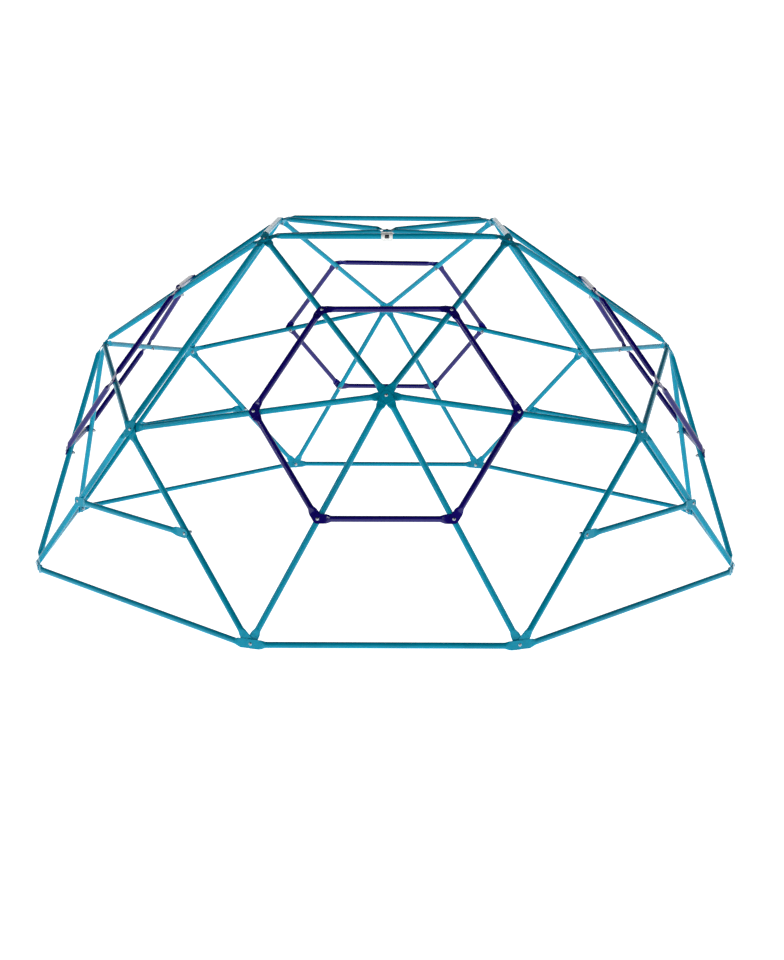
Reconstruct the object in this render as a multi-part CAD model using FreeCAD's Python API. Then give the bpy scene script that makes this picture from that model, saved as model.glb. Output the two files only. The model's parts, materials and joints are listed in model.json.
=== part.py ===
import FreeCAD, Part
import math
import os

# Climbing dome: nearly half of a truncated octahedron in round steel tube. The tube ends are squashed
# flat, bent and stacked on one bolt at each hub. Four hexagonal faces carry six spokes and a
# ring each. Millimetres, +Z up, the front face looks along -Y, and Z = 0 is the ground.

# Driving dimensions
EDGE = 1050.0            # hub to hub along one side of a hexagonal face
TOP_RISE = 1475.0        # base hubs to top hubs
FACE_RISE = 340.0        # a face hub's height over the flat hexagon through its six corners
TUBE_DIA = 25.0
TUBE_WALL = 1.2
CREASE = 35.0            # bolt to the bend between the flat tab and the flare
CREASE_LONG = 44.0       # the same where neighbouring tubes meet at 45 degrees
CREASE_RING = 27.0       # the same on the ring bars
FLARE = 30.0             # bend to full round section
FLARE_STEPS = 4
FLARE_NARROWING = 1.6    # power by which the flare's width follows its depth
FLARE_INSET = 0.15       # the flare's first oval stands this far inside the tab, so the bend hides it
BOLT_DIA = 8.0
BOLT_HOLE_DIA = 8.5
BOLT_TAIL = 2.5          # thread standing out of the nut
HEAD_DIA = 14.0
HEAD_HEIGHT = 4.4
SOCKET_FLATS = 5.0
SOCKET_DEPTH = 2.6
WASHER_DIA = 16.0
WASHER_HOLE_DIA = 8.4
WASHER_THICK = 1.6
NUT_FLATS = 13.0
NUT_HEIGHT = 8.0
NUT_HEX_HEIGHT = 6.0
NUT_COLLAR_DIA = 12.2    # round collar that holds the locking ring
NUT_BORE_DIA = 8.1
LABEL_LENGTH = 50.0
LABEL_THICK = 0.8
LABEL_GAP = 0.3          # between the label and its tube
LABEL_DROP = 19.0        # tube axis to the label's upper and lower edge
LABEL_SEAM = 3.5         # height of the welds where the two panels meet

# Worked out from them
TUBE_R = TUBE_DIA / 2
TAB_THICK = 2 * TUBE_WALL + 0.2                              # two walls and the seam between them
TAB_HALF = (math.pi * (TUBE_DIA - TUBE_WALL) / 2 + TUBE_WALL) / 2
FLAT_HALF_DEPTH = TAB_THICK / 2 - FLARE_INSET
FLAT_HALF_WIDTH = TAB_HALF - FLARE_INSET
HUB_LEVEL = TAB_HALF                                         # base bolts stand this far off the ground
ORIGIN = FreeCAD.Vector(0, 0, 0)
UP = FreeCAD.Vector(0, 0, 1)
CENTRE = FreeCAD.Vector(0, 0, HUB_LEVEL)

# Quarter turns from the front: the names of the sides and of the corner on each side's left,
# seen from outside.
SIDES = ["front", "right", "back", "left"]
CORNERS = ["front_left", "front_right", "back_right", "back_left"]

# Place of each tab in its hub's stack, 0 innermost, with the number of tabs in the stack.
STACK = {
    "corner": {"count": 6, "brace": 0, "spoke_left": 1, "spoke_right": 2,
               "upper_edge": 3, "top_edge_left": 4, "top_edge_right": 5},
    "centre": {"count": 4},
    "shoulder": {"count": 5, "spoke_left": 0, "spoke_right": 1, "leg_left": 2,
                 "leg_right": 3, "upper_edge": 4},
    "face": {"count": 6, "shoulder_left": 0, "shoulder_right": 1, "base_left": 2,
             "corner_left": 3, "corner_right": 4, "base_right": 5},
    "base": {"count": 4, "spoke": 0, "leg": 1, "corner_edge": 2, "base_edge": 3},
}


def hub(x, y, z):
    """A hub's centre from its place in edge lengths above the base bolts."""
    return FreeCAD.Vector(x * EDGE, y * EDGE, z * EDGE) + CENTRE


def radial(point):
    """Bolt direction of a hub, pointing straight away from the dome's centre."""
    return (point - CENTRE).normalize()


def quarter(vector, turns):
    """The vector turned about Z by that many quarter turns."""
    return FreeCAD.Rotation(UP, 90 * turns).multVec(vector)


def turned(shape, turns):
    """A copy of the shape turned about Z by that many quarter turns."""
    copy = shape.copy()
    copy.rotate(ORIGIN, UP, 90 * turns)
    return copy


def place(shape, origin, along, normal):
    """The shape moved from its own frame: X to along, Z to normal."""
    across = normal.cross(along)
    spot = FreeCAD.Placement(origin, FreeCAD.Rotation(along, across, normal, "ZXY"))
    return shape.transformed(spot.toMatrix(), True)


def flat_part(vector, normal):
    """The vector's direction within the plane square to normal."""
    return (vector - normal * vector.dot(normal)).normalize()


# The hubs that the front side uses. The other sides are quarter turns of these.
TOP_LEFT = hub(-0.5, -0.5, TOP_RISE / EDGE)
TOP_RIGHT = hub(0.5, -0.5, TOP_RISE / EDGE)
TOP_CENTRE = hub(0, 0, TOP_RISE / EDGE)
SHOULDER_LEFT = hub(-1, -1, math.sqrt(0.5))
SHOULDER_RIGHT = hub(1, -1, math.sqrt(0.5))
BASE_LEFT = hub(-0.5, -1.5, 0)
BASE_RIGHT = hub(0.5, -1.5, 0)
BASE_NEXT = hub(-1.5, -0.5, 0)
HEXAGON_DISTANCE = math.sqrt(1.5) * EDGE                     # from the dome's centre to that hexagon
FACE_HUB = CENTRE + FreeCAD.Vector(0, -math.sqrt(2 / 3), math.sqrt(1 / 3)) * (HEXAGON_DISTANCE + FACE_RISE)


# Tube ends and tubes

def tab_end(point, kind, name, axis=None, crease=CREASE):
    """One end of a tube: where its tab's middle plane meets the bolt, the bolt's direction
    and the length of the tab."""
    axis = axis or radial(point)
    stack = STACK[kind]
    level = name if isinstance(name, int) else stack[name]
    lift = (level - (stack["count"] - 1) / 2) * TAB_THICK
    return {"point": point + axis * lift, "axis": axis, "crease": crease}


def bends(start, finish):
    """The two points where a tube's straight body meets its tabs."""
    first = start["point"] + flat_part(finish["point"] - start["point"], start["axis"]) * start["crease"]
    last = finish["point"] + flat_part(start["point"] - finish["point"], finish["axis"]) * finish["crease"]
    return first, last


def tab(length):
    """Flat tab in its own frame: the bolt on Z, the tab running out along X to its bend."""
    low = FreeCAD.Vector(0, 0, -TAB_THICK / 2)
    plate = Part.makeBox(length, 2 * TAB_HALF, TAB_THICK, low - FreeCAD.Vector(0, TAB_HALF, 0))
    plate = plate.fuse(Part.makeCylinder(TAB_HALF, TAB_THICK, low))
    edge = FreeCAD.Vector(length, -TAB_HALF, 0)
    plate = plate.fuse(Part.makeCylinder(TAB_THICK / 2, 2 * TAB_HALF, edge, FreeCAD.Vector(0, 1, 0)))
    hole = Part.makeCylinder(BOLT_HOLE_DIA / 2, 2 * TAB_THICK, low * 2)
    return plate.cut(hole).removeSplitter()


def oval(at, half_width, half_depth):
    """Oval section across X."""
    circle = Part.makeCircle(1.0, ORIGIN, FreeCAD.Vector(1, 0, 0))
    stretch = FreeCAD.Matrix()
    stretch.scale(FreeCAD.Vector(1, half_width, half_depth))
    wire = Part.Wire([circle.transformGeometry(stretch)])
    wire.translate(FreeCAD.Vector(at, 0, 0))
    return wire


def flare(inset):
    """Flattened end opening out to the round tube along X. The oval's width follows its depth
    so that the distance round it stays that of the tube. inset is 0 for the outside and the
    wall's thickness for the bore, which starts one step on, where the squashed walls part."""
    ovals = []
    for step in range(1 if inset else 0, FLARE_STEPS + 1):
        share = step / FLARE_STEPS
        opened = share * share * (3 - 2 * share)
        half_depth = FLAT_HALF_DEPTH + (TUBE_R - FLAT_HALF_DEPTH) * opened
        half_width = FLAT_HALF_WIDTH - (FLAT_HALF_WIDTH - TUBE_R) * opened ** FLARE_NARROWING
        ovals.append(oval(share * FLARE, half_width - inset, half_depth - inset))
    return Part.makeLoft(ovals, True, False)


def straight_body(length, inset):
    """Both flares and the round stretch between them along X, from bend to bend."""
    opening = flare(inset)
    far = opening.mirror(ORIGIN, FreeCAD.Vector(1, 0, 0))
    far.translate(FreeCAD.Vector(length, 0, 0))
    round_start = FreeCAD.Vector(FLARE, 0, 0)
    middle = Part.makeCylinder(TUBE_R - inset, length - 2 * FLARE, round_start, FreeCAD.Vector(1, 0, 0))
    return opening.fuse([middle, far])


def tube(start, finish):
    """A whole hollow tube between two ends: tab, bend, flare, round body, flare, bend, tab."""
    first, last = bends(start, finish)
    along = (last - first).normalize()
    length = (last - first).Length
    normal = flat_part(start["axis"], along)
    outside, bore = [place(straight_body(length, inset), first, along, normal)
                     for inset in (0, TUBE_WALL)]
    near_tab = place(tab(start["crease"]), start["point"],
                     flat_part(first - start["point"], start["axis"]), start["axis"])
    far_tab = place(tab(finish["crease"]), finish["point"],
                    flat_part(last - finish["point"], finish["axis"]), finish["axis"])
    return outside.fuse([near_tab, far_tab]).cut(bore)


def drilled(shape, point, axis):
    """The shape with a bolt hole right through its round body."""
    hole = Part.makeCylinder(BOLT_HOLE_DIA / 2, 2 * TUBE_DIA, point - axis * TUBE_DIA, axis)
    return shape.cut(hole)


def middle_of(ends):
    """The middle of a tube's axis."""
    first, last = bends(*ends)
    return (first + last) * 0.5


# Ends of each kind of tube on the front side

def top_edge_ends():
    return (tab_end(TOP_LEFT, "corner", "top_edge_left", crease=CREASE_LONG),
            tab_end(TOP_RIGHT, "corner", "top_edge_right", crease=CREASE_LONG))


def brace_ends(level):
    return (tab_end(TOP_LEFT, "corner", "brace", crease=CREASE_LONG),
            tab_end(TOP_CENTRE, "centre", level, axis=UP))


def upper_edge_ends():
    return (tab_end(TOP_LEFT, "corner", "upper_edge"),
            tab_end(SHOULDER_LEFT, "shoulder", "upper_edge"))


def base_edge_ends():
    return (tab_end(BASE_LEFT, "base", "base_edge"), tab_end(BASE_RIGHT, "base", "base_edge"))


def corner_base_edge_ends():
    return (tab_end(BASE_LEFT, "base", "corner_edge", crease=CREASE_LONG),
            tab_end(BASE_NEXT, "base", "corner_edge", crease=CREASE_LONG))


def leg_ends(hand):
    shoulder, base = {"left": (SHOULDER_LEFT, BASE_LEFT), "right": (SHOULDER_RIGHT, BASE_RIGHT)}[hand]
    return (tab_end(shoulder, "shoulder", "leg_" + hand),
            tab_end(base, "base", "leg", crease=CREASE_LONG))


def spoke_ends(row, hand):
    """A spoke from the face hub to the top corner, the shoulder or the base."""
    outer = {
        ("upper", "left"): (TOP_LEFT, "corner", "spoke_left", "corner_left"),
        ("upper", "right"): (TOP_RIGHT, "corner", "spoke_right", "corner_right"),
        ("side", "left"): (SHOULDER_LEFT, "shoulder", "spoke_left", "shoulder_left"),
        ("side", "right"): (SHOULDER_RIGHT, "shoulder", "spoke_right", "shoulder_right"),
        ("lower", "left"): (BASE_LEFT, "base", "spoke", "base_left"),
        ("lower", "right"): (BASE_RIGHT, "base", "spoke", "base_right"),
    }
    point, kind, place_there, place_here = outer[(row, hand)]
    return tab_end(FACE_HUB, "face", place_here), tab_end(point, kind, place_there)


# The spokes in order round the face, which is the order of the ring's six bolts
RING_ORDER = [("upper", "left"), ("upper", "right"), ("side", "right"),
              ("lower", "right"), ("lower", "left"), ("side", "left")]


def ring_bolts():
    """Where each ring bolt crosses its spoke's axis, and its direction, square to the spoke."""
    bolts = []
    for row, hand in RING_ORDER:
        ends = spoke_ends(row, hand)
        first, last = bends(*ends)
        bolts.append((middle_of(ends), flat_part(radial(FACE_HUB), (last - first).normalize())))
    return bolts


def crossbar_bolts():
    """Where the front left crossbar's bolts cross the two legs, and their directions: out of the
    corner triangle and square to the leg."""
    outward = (BASE_NEXT - SHOULDER_LEFT).cross(BASE_LEFT - SHOULDER_LEFT).normalize()
    bolts = []
    for hand, turns in (("left", 0), ("right", -1)):
        ends = leg_ends(hand)
        first, last = bends(*ends)
        along = quarter(last - first, turns).normalize()
        bolts.append((quarter(middle_of(ends), turns), flat_part(outward, along)))
    return bolts


# Sub-parts of the front side

def top_edge():
    return tube(*top_edge_ends())


def top_brace(level):
    return tube(*brace_ends(level))


def upper_edge():
    return tube(*upper_edge_ends())


def base_edge():
    return tube(*base_edge_ends())


def corner_base_edge():
    return tube(*corner_base_edge_ends())


def leg(hand):
    """A leg with the hole for its crossbar's bolt."""
    ends = leg_ends(hand)
    left_bolt, next_bolt = crossbar_bolts()
    axis = left_bolt[1] if hand == "left" else quarter(next_bolt[1], 1)
    return drilled(tube(*ends), middle_of(ends), axis)


def spokes(row):
    """The left and right spoke of one row, with the holes for the ring's bolts."""
    bolts = ring_bolts()
    pair = []
    for hand in ("left", "right"):
        point, axis = bolts[RING_ORDER.index((row, hand))]
        pair.append(drilled(tube(*spoke_ends(row, hand)), point, axis))
    return Part.makeCompound(pair)


def ring_bars():
    """Six bars round the face, each with one tab against the spoke and one over the next bar's."""
    bolts = ring_bolts()
    bars = []
    for i, (point, axis) in enumerate(bolts):
        next_point, next_axis = bolts[(i + 1) % len(bolts)]
        start = {"point": point + axis * (TUBE_R + TAB_THICK / 2), "axis": axis, "crease": CREASE_RING}
        finish = {"point": next_point + next_axis * (TUBE_R + 1.5 * TAB_THICK), "axis": next_axis,
                  "crease": CREASE_RING}
        bars.append(tube(start, finish))
    return Part.makeCompound(bars)


def crossbar():
    """Bar across the corner triangle, bolted over the outside of both legs."""
    ends = [{"point": point + axis * (TUBE_R + TAB_THICK / 2), "axis": axis, "crease": CREASE_LONG}
            for point, axis in crossbar_bolts()]
    return tube(*ends)


# Fasteners in their own frame: the bolt's axis on Z, the head outwards

def hexagon(across_flats, height):
    """Hexagonal prism standing on the XY plane."""
    radius = across_flats / math.sqrt(3)
    corners = [FreeCAD.Vector(radius * math.cos(math.radians(60 * i)),
                              radius * math.sin(math.radians(60 * i)), 0) for i in range(7)]
    return Part.Face(Part.makePolygon(corners)).extrude(UP * height)


def bolt(grip):
    """Button-head bolt for parts grip thick, with its head's underside at Z = 0."""
    ball_radius = ((HEAD_DIA / 2) ** 2 + HEAD_HEIGHT ** 2) / (2 * HEAD_HEIGHT)
    ball = Part.makeSphere(ball_radius, UP * (HEAD_HEIGHT - ball_radius))
    head = ball.common(Part.makeCylinder(HEAD_DIA / 2, HEAD_HEIGHT))
    socket = hexagon(SOCKET_FLATS, SOCKET_DEPTH)
    socket.translate(UP * (HEAD_HEIGHT - SOCKET_DEPTH))
    length = grip + WASHER_THICK + NUT_HEIGHT + BOLT_TAIL
    shank = Part.makeCylinder(BOLT_DIA / 2, length, UP * -length)
    return head.cut(socket).fuse(shank)


def washer():
    """Flat washer below Z = 0."""
    disc = Part.makeCylinder(WASHER_DIA / 2, WASHER_THICK, UP * -WASHER_THICK)
    return disc.cut(Part.makeCylinder(WASHER_HOLE_DIA / 2, WASHER_THICK, UP * -WASHER_THICK))


def nut():
    """Lock nut below the washer: a hexagon with its outer corners turned off, and a round collar."""
    collar_radius = NUT_COLLAR_DIA / 2
    cone = Part.makeCone(collar_radius + NUT_HEX_HEIGHT, collar_radius, NUT_HEX_HEIGHT)
    body = hexagon(NUT_FLATS, NUT_HEX_HEIGHT).common(cone)
    body = body.fuse(Part.makeCylinder(collar_radius, NUT_HEIGHT))
    body = body.cut(Part.makeCylinder(NUT_BORE_DIA / 2, NUT_HEIGHT)).removeSplitter()
    body.rotate(ORIGIN, FreeCAD.Vector(1, 0, 0), 180)
    body.translate(UP * -WASHER_THICK)
    return body


def fastener_spots():
    """Each kind of bolt: its grip and, for the front side, where its head's underside lies and
    which way it points."""
    hubs = {"top_corner": ("corner", [TOP_LEFT]), "shoulder": ("shoulder", [SHOULDER_LEFT]),
            "face_hub": ("face", [FACE_HUB]), "base": ("base", [BASE_LEFT, BASE_RIGHT])}
    spots = {}
    for name, (kind, points) in hubs.items():
        grip = STACK[kind]["count"] * TAB_THICK
        spots[name] = (grip, [(point + radial(point) * (grip / 2), radial(point)) for point in points])
    spots["ring"] = (TUBE_DIA + 2 * TAB_THICK,
                     [(point + axis * (TUBE_R + 2 * TAB_THICK), axis) for point, axis in ring_bolts()])
    spots["crossbar"] = (TUBE_DIA + TAB_THICK,
                         [(point + axis * (TUBE_R + TAB_THICK), axis) for point, axis in crossbar_bolts()])
    return spots


def at_every_side(shape, spots):
    """The shape at each spot, and again on the other three sides."""
    copies = []
    for point, axis in spots:
        placed = place(shape, point, flat_part(UP, axis), axis)
        copies += [turned(placed, turns) for turns in range(4)]
    return copies


def fasteners():
    """All bolts by kind, all washers and all nuts."""
    groups = {"washers": [], "lock_nuts": []}
    for name, (grip, spots) in fastener_spots().items():
        under = [(point - axis * grip, axis) for point, axis in spots]
        groups[name + "_bolts"] = at_every_side(bolt(grip), spots)
        groups["washers"] += at_every_side(washer(), under)
        groups["lock_nuts"] += at_every_side(nut(), under)
    grip = STACK["centre"]["count"] * TAB_THICK
    head, foot = TOP_CENTRE + UP * (grip / 2), TOP_CENTRE - UP * (grip / 2)
    east = FreeCAD.Vector(1, 0, 0)
    groups["top_centre_bolt"] = [place(bolt(grip), head, east, UP)]
    groups["washers"].append(place(washer(), foot, east, UP))
    groups["lock_nuts"].append(place(nut(), foot, east, UP))
    return {name: Part.makeCompound(solids) for name, solids in groups.items()}


def care_label():
    """Blank label round the middle of the front top edge: a front and a back panel, welded
    together above and below the tube."""
    ends = top_edge_ends()
    first, last = bends(*ends)
    along = (last - first).normalize()

    def loop(radius, drop):
        reach = math.acos(radius / drop)
        across, height = radius * math.sin(reach), radius * math.cos(reach)
        front_low, front_high = FreeCAD.Vector(0, -across, -height), FreeCAD.Vector(0, -across, height)
        back_low, back_high = FreeCAD.Vector(0, across, -height), FreeCAD.Vector(0, across, height)
        foot, top = FreeCAD.Vector(0, 0, -drop), FreeCAD.Vector(0, 0, drop)
        front = Part.Arc(front_low, FreeCAD.Vector(0, -radius, 0), front_high).toShape()
        back = Part.Arc(back_high, FreeCAD.Vector(0, radius, 0), back_low).toShape()
        return Part.Wire([front, Part.makeLine(front_high, top), Part.makeLine(top, back_high),
                          back, Part.makeLine(back_low, foot), Part.makeLine(foot, front_low)])

    inner_radius = TUBE_R + LABEL_GAP
    outer = Part.Face(loop(inner_radius + LABEL_THICK, LABEL_DROP))
    inner = Part.Face(loop(inner_radius, LABEL_DROP - LABEL_SEAM))
    sleeve = outer.cut(inner).extrude(FreeCAD.Vector(LABEL_LENGTH, 0, 0))
    sleeve.translate(FreeCAD.Vector(-LABEL_LENGTH / 2, 0, 0))
    return place(sleeve, middle_of(ends), along, flat_part(UP, along))


def nodes():
    """Every node's name and shape."""
    shapes = {}
    whole_sides = {"top_edge": top_edge(), "base_edge": base_edge(),
                   "leg_left": leg("left"), "leg_right": leg("right"),
                   "upper_spokes": spokes("upper"), "side_spokes": spokes("side"),
                   "lower_spokes": spokes("lower"), "ring_bars": ring_bars()}
    at_corners = {"upper_edge": upper_edge(), "base_edge": corner_base_edge(), "crossbar": crossbar()}
    for turns in range(4):
        for name, shape in whole_sides.items():
            shapes[SIDES[turns] + "_" + name] = turned(shape, turns)
        for name, shape in at_corners.items():
            shapes[CORNERS[turns] + "_" + name] = turned(shape, turns)
        shapes[CORNERS[turns] + "_top_brace"] = turned(top_brace(turns), turns)
    shapes.update(fasteners())
    shapes["care_label"] = care_label()
    return shapes


os.makedirs("parts", exist_ok=True)
for name, shape in nodes().items():
    shape.exportStep("parts/" + name + ".step")
    print(name, len(shape.Solids), "solids", round(shape.Volume / 1000, 1), "cm3")
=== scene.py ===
import json
import math

import bpy
from mathutils import Matrix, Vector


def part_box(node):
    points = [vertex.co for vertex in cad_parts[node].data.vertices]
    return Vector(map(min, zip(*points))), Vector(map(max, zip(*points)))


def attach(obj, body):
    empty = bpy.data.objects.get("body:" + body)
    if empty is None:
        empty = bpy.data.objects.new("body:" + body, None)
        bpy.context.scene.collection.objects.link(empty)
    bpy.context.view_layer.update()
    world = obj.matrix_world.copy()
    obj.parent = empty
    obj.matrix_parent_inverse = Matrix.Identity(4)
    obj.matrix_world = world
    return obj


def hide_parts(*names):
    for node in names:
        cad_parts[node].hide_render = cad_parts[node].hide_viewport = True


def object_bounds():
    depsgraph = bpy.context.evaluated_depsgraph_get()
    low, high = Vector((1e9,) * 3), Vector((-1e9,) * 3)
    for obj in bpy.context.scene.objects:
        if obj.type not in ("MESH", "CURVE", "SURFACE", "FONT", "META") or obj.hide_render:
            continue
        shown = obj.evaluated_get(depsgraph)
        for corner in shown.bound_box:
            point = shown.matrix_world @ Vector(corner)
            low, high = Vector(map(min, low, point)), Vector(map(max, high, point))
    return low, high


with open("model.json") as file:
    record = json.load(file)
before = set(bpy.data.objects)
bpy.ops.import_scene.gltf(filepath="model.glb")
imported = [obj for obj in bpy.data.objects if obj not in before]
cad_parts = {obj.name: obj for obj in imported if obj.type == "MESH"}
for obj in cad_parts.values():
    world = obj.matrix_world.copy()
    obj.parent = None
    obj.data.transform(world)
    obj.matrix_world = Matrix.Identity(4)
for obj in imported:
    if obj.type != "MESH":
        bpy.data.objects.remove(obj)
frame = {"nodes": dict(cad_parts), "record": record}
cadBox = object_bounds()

nodes = frame["nodes"]
middle = (cadBox[0] + cadBox[1]) / 2
mm = 0.001
print("frame loaded:", len(nodes), "nodes")


def linear(hexColour):
    # sRGB hex to linear RGBA
    out = []
    for i in (0, 2, 4):
        c = int(hexColour[i:i + 2], 16) / 255
        out.append(c / 12.92 if c <= 0.04045 else ((c + 0.055) / 1.055) ** 2.4)
    return (*out, 1.0)


def addNode(tree, kind, settings=None, inputs=None):
    # one shader node with its settings, and its inputs as values or as links from other sockets
    node = tree.nodes.new(kind)
    for name, value in (settings or {}).items():
        setattr(node, name, value)
    for name, value in (inputs or {}).items():
        if isinstance(value, bpy.types.NodeSocket):
            tree.links.new(value, node.inputs[name])
        else:
            node.inputs[name].default_value = value
    return node


def newMaterial(name):
    mat = bpy.data.materials.new(name)
    mat.use_nodes = True
    tree = mat.node_tree
    tree.nodes.clear()
    output = tree.nodes.new("ShaderNodeOutputMaterial")
    return mat, tree, output


def ramp(tree, factor, stops):
    # colour ramp with (position, colour) stops
    node = addNode(tree, "ShaderNodeValToRGB", None, {"Fac": factor})
    while len(node.color_ramp.elements) < len(stops):
        node.color_ramp.elements.new(0.5)
    for element, (position, colour) in zip(node.color_ramp.elements, stops):
        element.position = position
        element.color = colour
    return node


def perMetre(sizeMm):
    # texture scale for a pattern whose cells are sizeMm across
    return 1.0 / (sizeMm * mm)


# lens in mm; the camera stands in metres from the dome's middle and the ground, turned in degrees
cameraSet = {"lens": 60.04, "side": -0.0016, "back": 7.509, "height": 2.093,
             "down": 13.41, "turn": 0.24, "roll": 0.29, "sensor": 36.0, "reach": 200.0}


def makeCamera(c):
    data = bpy.data.cameras.new("studioCamera")
    data.sensor_fit = "VERTICAL"
    data.sensor_height = c["sensor"]
    data.lens = c["lens"]
    data.clip_end = c["reach"]
    cam = bpy.data.objects.new("studioCamera", data)
    bpy.context.scene.collection.objects.link(cam)
    look = Matrix.Rotation(math.radians(-c["turn"]), 4, "Z")
    look = look @ Matrix.Rotation(math.radians(90 - c["down"]), 4, "X")
    look = look @ Matrix.Rotation(math.radians(c["roll"]), 4, "Z")
    cam.matrix_world = Matrix.Translation((middle.x + c["side"], middle.y - c["back"], c["height"])) @ look
    bpy.context.scene.camera = cam


makeCamera(cameraSet)
print("camera set")


# the skin that both powder coats share, then each coat's own colours
coatSkin = {"patchMm": 260, "grainMm": 5, "grainShare": 0.3, "handMm": 45, "polished": 0.04, "dulled": 0.08,
            "peelMm": 3, "peelDepthMm": 0.05, "peelStrength": 0.2}
tealCoat = {"colour": "0092b0", "deep": "0088a5", "light": "009cba", "roughness": 0.18, "specular": 0.14,
            **coatSkin}
purpleCoat = {"colour": "12036c", "deep": "0e0263", "light": "180676", "roughness": 0.16, "specular": 0.4,
              **coatSkin}


def powderCoat(name, c):
    # polyester powder, sprayed dry and baked on: a deep even colour under a glossy skin with a
    # faint orange peel, slightly thicker and darker in places, dulled a little by hands
    mat, tree, output = newMaterial(name)
    place = addNode(tree, "ShaderNodeTexCoord").outputs["Object"]
    patches = addNode(tree, "ShaderNodeTexNoise", None,
                      {"Vector": place, "Scale": perMetre(c["patchMm"]), "Detail": 2.0})
    grain = addNode(tree, "ShaderNodeTexNoise", None,
                    {"Vector": place, "Scale": perMetre(c["grainMm"]), "Detail": 3.0, "Roughness": 0.6})
    blend = addNode(tree, "ShaderNodeMix", {"data_type": "FLOAT"},
                    {"Factor": c["grainShare"], "A": patches.outputs["Fac"], "B": grain.outputs["Fac"]})
    colour = ramp(tree, blend.outputs["Result"], [(0.32, linear(c["deep"])), (0.50, linear(c["colour"])),
                                                  (0.68, linear(c["light"]))])
    marks = addNode(tree, "ShaderNodeTexNoise", None,
                    {"Vector": place, "Scale": perMetre(c["handMm"]), "Detail": 4.0, "Roughness": 0.6})
    gloss = addNode(tree, "ShaderNodeMapRange", None,
                    {"Value": marks.outputs["Fac"], "From Min": 0.3, "From Max": 0.7,
                     "To Min": c["roughness"] - c["polished"], "To Max": c["roughness"] + c["dulled"]})
    # the peel's lumps are really about 1 mm; drawn three times wider so that they show
    peel = addNode(tree, "ShaderNodeTexVoronoi", {"feature": "SMOOTH_F1"},
                   {"Vector": place, "Scale": perMetre(c["peelMm"]), "Smoothness": 1.0})
    bump = addNode(tree, "ShaderNodeBump", None,
                   {"Height": peel.outputs["Distance"], "Strength": c["peelStrength"],
                    "Distance": c["peelDepthMm"] * mm})
    shader = addNode(tree, "ShaderNodeBsdfPrincipled", None,
                     {"Base Color": colour.outputs["Color"], "Roughness": gloss.outputs["Result"],
                      "IOR": 1.5, "Specular IOR Level": c["specular"],
                      "Normal": bump.outputs["Normal"]})
    tree.links.new(shader.outputs["BSDF"], output.inputs["Surface"])
    return mat


zincPlate = {"colour": "c9ced4", "shade": "9aa1aa", "cloudMm": 6, "grainMm": 1.6, "roughness": 0.28,
             "bright": 0.08, "scuffed": 0.12, "scratchStrength": 0.15, "scratchDepthMm": 0.05}


def zincSteel(name, c):
    # bright zinc plating over pressed and rolled steel: cool silver with faint clouding, and
    # fine scratches from the spanner
    mat, tree, output = newMaterial(name)
    place = addNode(tree, "ShaderNodeTexCoord").outputs["Object"]
    cloud = addNode(tree, "ShaderNodeTexNoise", None,
                    {"Vector": place, "Scale": perMetre(c["cloudMm"]), "Detail": 3.0})
    colour = ramp(tree, cloud.outputs["Fac"], [(0.35, linear(c["shade"])), (0.65, linear(c["colour"]))])
    grain = addNode(tree, "ShaderNodeTexNoise", None,
                    {"Vector": place, "Scale": perMetre(c["grainMm"]), "Detail": 5.0})
    rough = addNode(tree, "ShaderNodeMapRange", None,
                    {"Value": grain.outputs["Fac"], "To Min": c["roughness"] - c["bright"],
                     "To Max": c["roughness"] + c["scuffed"]})
    bump = addNode(tree, "ShaderNodeBump", None,
                   {"Height": grain.outputs["Fac"], "Strength": c["scratchStrength"],
                    "Distance": c["scratchDepthMm"] * mm})
    shader = addNode(tree, "ShaderNodeBsdfPrincipled", None,
                     {"Base Color": colour.outputs["Color"], "Metallic": 1.0,
                      "Roughness": rough.outputs["Result"], "Normal": bump.outputs["Normal"]})
    tree.links.new(shader.outputs["BSDF"], output.inputs["Surface"])
    return mat


vinylSkin = {"mottleMm": 12, "grainMm": 1.5, "grainStrength": 0.3, "grainDepthMm": 0.08, "dulled": 0.2}
labelVinyl = {"colour": "f3f4f2", "shade": "e2e4e2", "roughness": 0.5, **vinylSkin}
labelInk = {"colour": "1b1c22", "shade": "2c2e36", "roughness": 0.4, **vinylSkin}


def softVinyl(name, c):
    # calendered PVC film: matt and slightly uneven, with a fine pressed leather grain
    mat, tree, output = newMaterial(name)
    place = addNode(tree, "ShaderNodeTexCoord").outputs["Object"]
    mottle = addNode(tree, "ShaderNodeTexNoise", None,
                     {"Vector": place, "Scale": perMetre(c["mottleMm"]), "Detail": 4.0})
    colour = ramp(tree, mottle.outputs["Fac"], [(0.35, linear(c["shade"])), (0.6, linear(c["colour"]))])
    pebble = addNode(tree, "ShaderNodeTexVoronoi", {"feature": "F1"},
                     {"Vector": place, "Scale": perMetre(c["grainMm"])})
    rough = addNode(tree, "ShaderNodeMapRange", None,
                    {"Value": pebble.outputs["Distance"], "To Min": c["roughness"],
                     "To Max": c["roughness"] + c["dulled"]})
    bump = addNode(tree, "ShaderNodeBump", None,
                   {"Height": pebble.outputs["Distance"], "Strength": c["grainStrength"],
                    "Distance": c["grainDepthMm"] * mm})
    shader = addNode(tree, "ShaderNodeBsdfPrincipled", None,
                     {"Base Color": colour.outputs["Color"], "Roughness": rough.outputs["Result"],
                      "IOR": 1.52, "Normal": bump.outputs["Normal"]})
    tree.links.new(shader.outputs["BSDF"], output.inputs["Surface"])
    return mat


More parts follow.
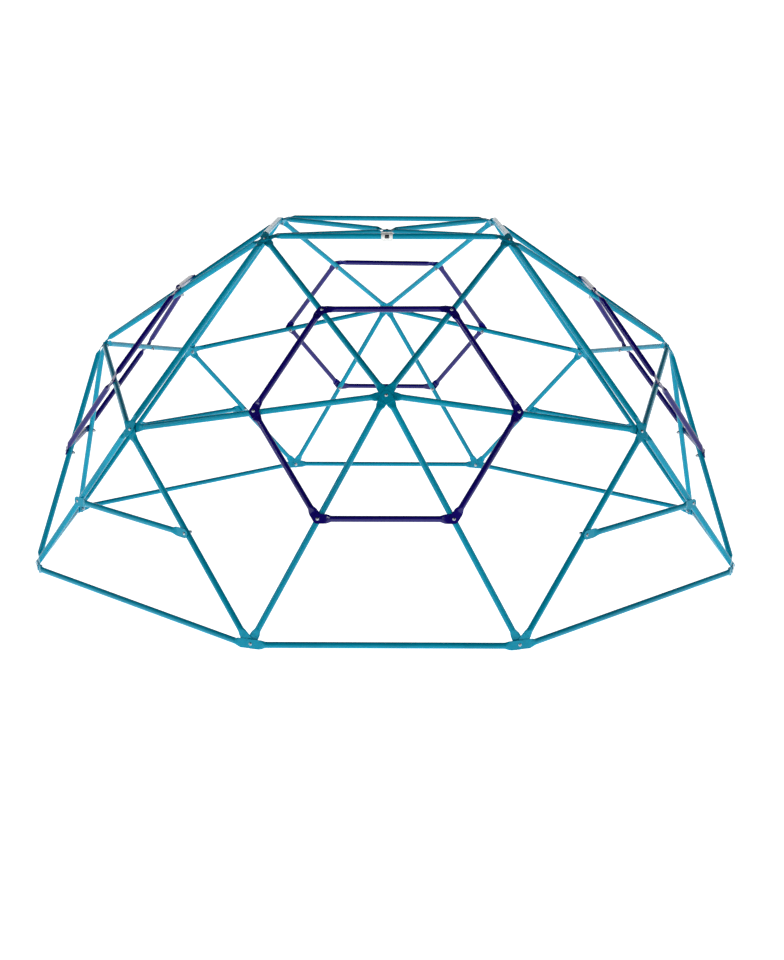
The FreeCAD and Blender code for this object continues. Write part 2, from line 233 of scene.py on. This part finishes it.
finishes = {"teal_powder_coat": powderCoat("tealPowderCoat", tealCoat),
            "purple_powder_coat": powderCoat("purplePowderCoat", purpleCoat),
            "zinc_plated_steel": zincSteel("zincPlatedSteel", zincPlate),
            "white_label": softVinyl("whiteVinylFilm", labelVinyl)}
for part in frame["record"]["subparts"]:
    piece = nodes[part["node"]]
    piece.data.materials.clear()
    piece.data.materials.append(finishes[part["material_slot"]])
print("finishes made:", len(finishes))


# two vinyl panels round the front top edge, welded together above and below it, with a printed
# patch on the front one; sizes in mm
label = {"length": 50.0, "drop": 19.0, "seam": 3.5, "thick": 0.8, "corner": 4.0, "columns": 40, "rows": 56,
         "weldPitch": 1.6, "weldDepth": 0.12, "patchLength": 19.0, "patchDrop": 10.5,
         "patchGap": 0.02, "patchThick": 0.15, "patchCorner": 6.0}


def labelBulge(c, radius, height):
    # how far a panel's inner face stands from the middle plane at that height, in mm
    flat = c["drop"] - c["seam"]
    reach = math.acos(radius / flat)
    high = abs(height)
    if high >= flat:
        return 0.0
    touch = radius * math.cos(reach)
    if high <= touch:
        return math.sqrt(radius * radius - high * high)
    return radius * math.sin(reach) * (flat - high) / (flat - touch)


def labelSheet(name, c, radius, halfLength, halfHeight, side, lift, thick, corner):
    # one panel or patch, side -1 in front and 1 behind; rounded corners by shortening the end rows
    verts = []
    for row in range(c["rows"] + 1):
        height = halfHeight * (2 * row / c["rows"] - 1)
        past = max(0.0, abs(height) - (halfHeight - corner))
        reach = halfLength - corner + math.sqrt(max(0.0, corner * corner - past * past))
        for column in range(c["columns"] + 1):
            along = reach * (2 * column / c["columns"] - 1)
            out = labelBulge(c, radius, height) + lift
            if abs(height) > c["drop"] - c["seam"]:
                out += c["weldDepth"] * math.cos(2 * math.pi * along / c["weldPitch"])
            verts.append((along * mm, side * out * mm, height * mm))
    wide = c["columns"] + 1
    faces = []
    for row in range(c["rows"]):
        for column in range(c["columns"]):
            first = row * wide + column
            face = (first, first + 1, first + wide + 1, first + wide)
            faces.append(face if side < 0 else face[::-1])
    mesh = bpy.data.meshes.new(name)
    mesh.from_pydata(verts, [], faces)
    mesh.shade_smooth()
    sheet = bpy.data.objects.new(name, mesh)
    bpy.context.scene.collection.objects.link(sheet)
    thicken = sheet.modifiers.new("thickness", "SOLIDIFY")
    thicken.thickness = thick * mm
    thicken.offset = 1.0
    return sheet


def makeLabel(c):
    low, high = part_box("care_label")
    outerRadius = (high.y - low.y) / 2 / mm
    centre = (low + high) / 2
    radius = outerRadius - c["thick"]
    shape = (c["length"] / 2, c["drop"])
    patchShape = (c["patchLength"] / 2, c["patchDrop"])
    front = labelSheet("labelFront", c, radius, *shape, -1, 0.0, c["thick"], c["corner"])
    back = labelSheet("labelBack", c, radius, *shape, 1, 0.0, c["thick"], c["corner"])
    patch = labelSheet("labelPatch", c, radius, *patchShape, -1, c["thick"] + c["patchGap"],
                       c["patchThick"], c["patchCorner"])
    for piece in (front, back, patch):
        piece.location = centre
        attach(piece, "root")
    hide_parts("care_label")
    for piece in (front, back):
        piece.data.materials.append(finishes["white_label"])
    patch.data.materials.append(softVinyl("charcoalInk", labelInk))


makeLabel(label)
print("label made")


# the last two lines give where the light changes: from the dark side to the side walls along Y,
# above the band round the horizon, and up to the ceiling along Z
studio = {"floor": "fcfcfb", "shade": "f6f6f5", "glow": 1.25, "floorSize": 160.0, "toothMm": 8,
          "walls": 1.25, "behindCamera": 0.08, "ceiling": 0.02,
          "darkSide": -0.75, "sideWalls": -0.1,
          "bandBelow": 0.07, "bandAbove": 0.12, "ceilingAbove": 0.5}
lamps = {"keyLamp": {"aside": -5.0, "front": 4.0, "height": 3.5, "size": 1.5, "power": 55},
         "fillLamp": {"aside": 5.0, "front": 3.0, "height": 3.0, "size": 1.5, "power": 30}}


def makeFloor(c):
    # white translucent floor lit from below, as in a product studio
    mesh = bpy.data.meshes.new("studioFloor")
    r = c["floorSize"] / 2
    mesh.from_pydata([(-r, -r, 0), (r, -r, 0), (r, r, 0), (-r, r, 0)], [], [(0, 1, 2, 3)])
    floor = bpy.data.objects.new("studioFloor", mesh)
    bpy.context.scene.collection.objects.link(floor)
    floor.location.z = cadBox[0].z
    mat, tree, output = newMaterial("litWhiteFloor")
    place = addNode(tree, "ShaderNodeTexCoord").outputs["Object"]
    tooth = addNode(tree, "ShaderNodeTexNoise", None,
                    {"Vector": place, "Scale": perMetre(c["toothMm"]), "Detail": 4.0})
    colour = ramp(tree, tooth.outputs["Fac"], [(0.3, linear(c["shade"])), (0.7, linear(c["floor"]))])
    shader = addNode(tree, "ShaderNodeBsdfPrincipled", None,
                     {"Base Color": colour.outputs["Color"], "Roughness": 0.9,
                      "Emission Color": colour.outputs["Color"], "Emission Strength": c["glow"]})
    tree.links.new(shader.outputs["BSDF"], output.inputs["Surface"])
    mesh.materials.append(mat)


def makeWorld(c):
    # white walls on three sides and a white band right round the horizon; the ceiling and the
    # side that the front of the dome faces stay dark
    world = bpy.data.worlds.new("studioWorld")
    bpy.context.scene.world = world
    world.use_nodes = True
    tree = world.node_tree
    tree.nodes.clear()
    place = addNode(tree, "ShaderNodeTexCoord").outputs["Generated"]
    split = addNode(tree, "ShaderNodeSeparateXYZ", None, {"Vector": place})
    smooth = {"interpolation_type": "SMOOTHSTEP"}
    walls = addNode(tree, "ShaderNodeMapRange", smooth,
                    {"Value": split.outputs["Y"], "From Min": c["darkSide"], "From Max": c["sideWalls"],
                     "To Min": c["behindCamera"], "To Max": c["walls"]})
    upper = addNode(tree, "ShaderNodeMapRange", smooth,
                    {"Value": split.outputs["Z"], "From Min": c["bandAbove"], "From Max": c["ceilingAbove"],
                     "To Min": walls.outputs["Result"], "To Max": c["ceiling"]})
    strength = addNode(tree, "ShaderNodeMapRange", smooth,
                       {"Value": split.outputs["Z"], "From Min": c["bandBelow"], "From Max": c["bandAbove"],
                        "To Min": c["walls"], "To Max": upper.outputs["Result"]})
    back = addNode(tree, "ShaderNodeBackground", None,
                   {"Color": (1, 1, 1, 1), "Strength": strength.outputs["Result"]})
    addNode(tree, "ShaderNodeOutputWorld", None, {"Surface": back.outputs["Background"]})


def makeLamp(name, c):
    # square lamp in front of the dome and to one side, aimed at its middle
    data = bpy.data.lights.new(name, "AREA")
    data.shape = "RECTANGLE"
    data.size = data.size_y = c["size"]
    data.energy = c["power"]
    lamp = bpy.data.objects.new(name, data)
    bpy.context.scene.collection.objects.link(lamp)
    lamp.location = (middle.x + c["aside"], middle.y - c["front"], c["height"])
    lamp.rotation_euler = (middle - lamp.location).to_track_quat("-Z", "Y").to_euler()
    lamp.visible_camera = False


makeFloor(studio)
makeWorld(studio)
for name, lamp in lamps.items():
    makeLamp(name, lamp)
bpy.context.scene.view_settings.view_transform = "Standard"
print("studio set")
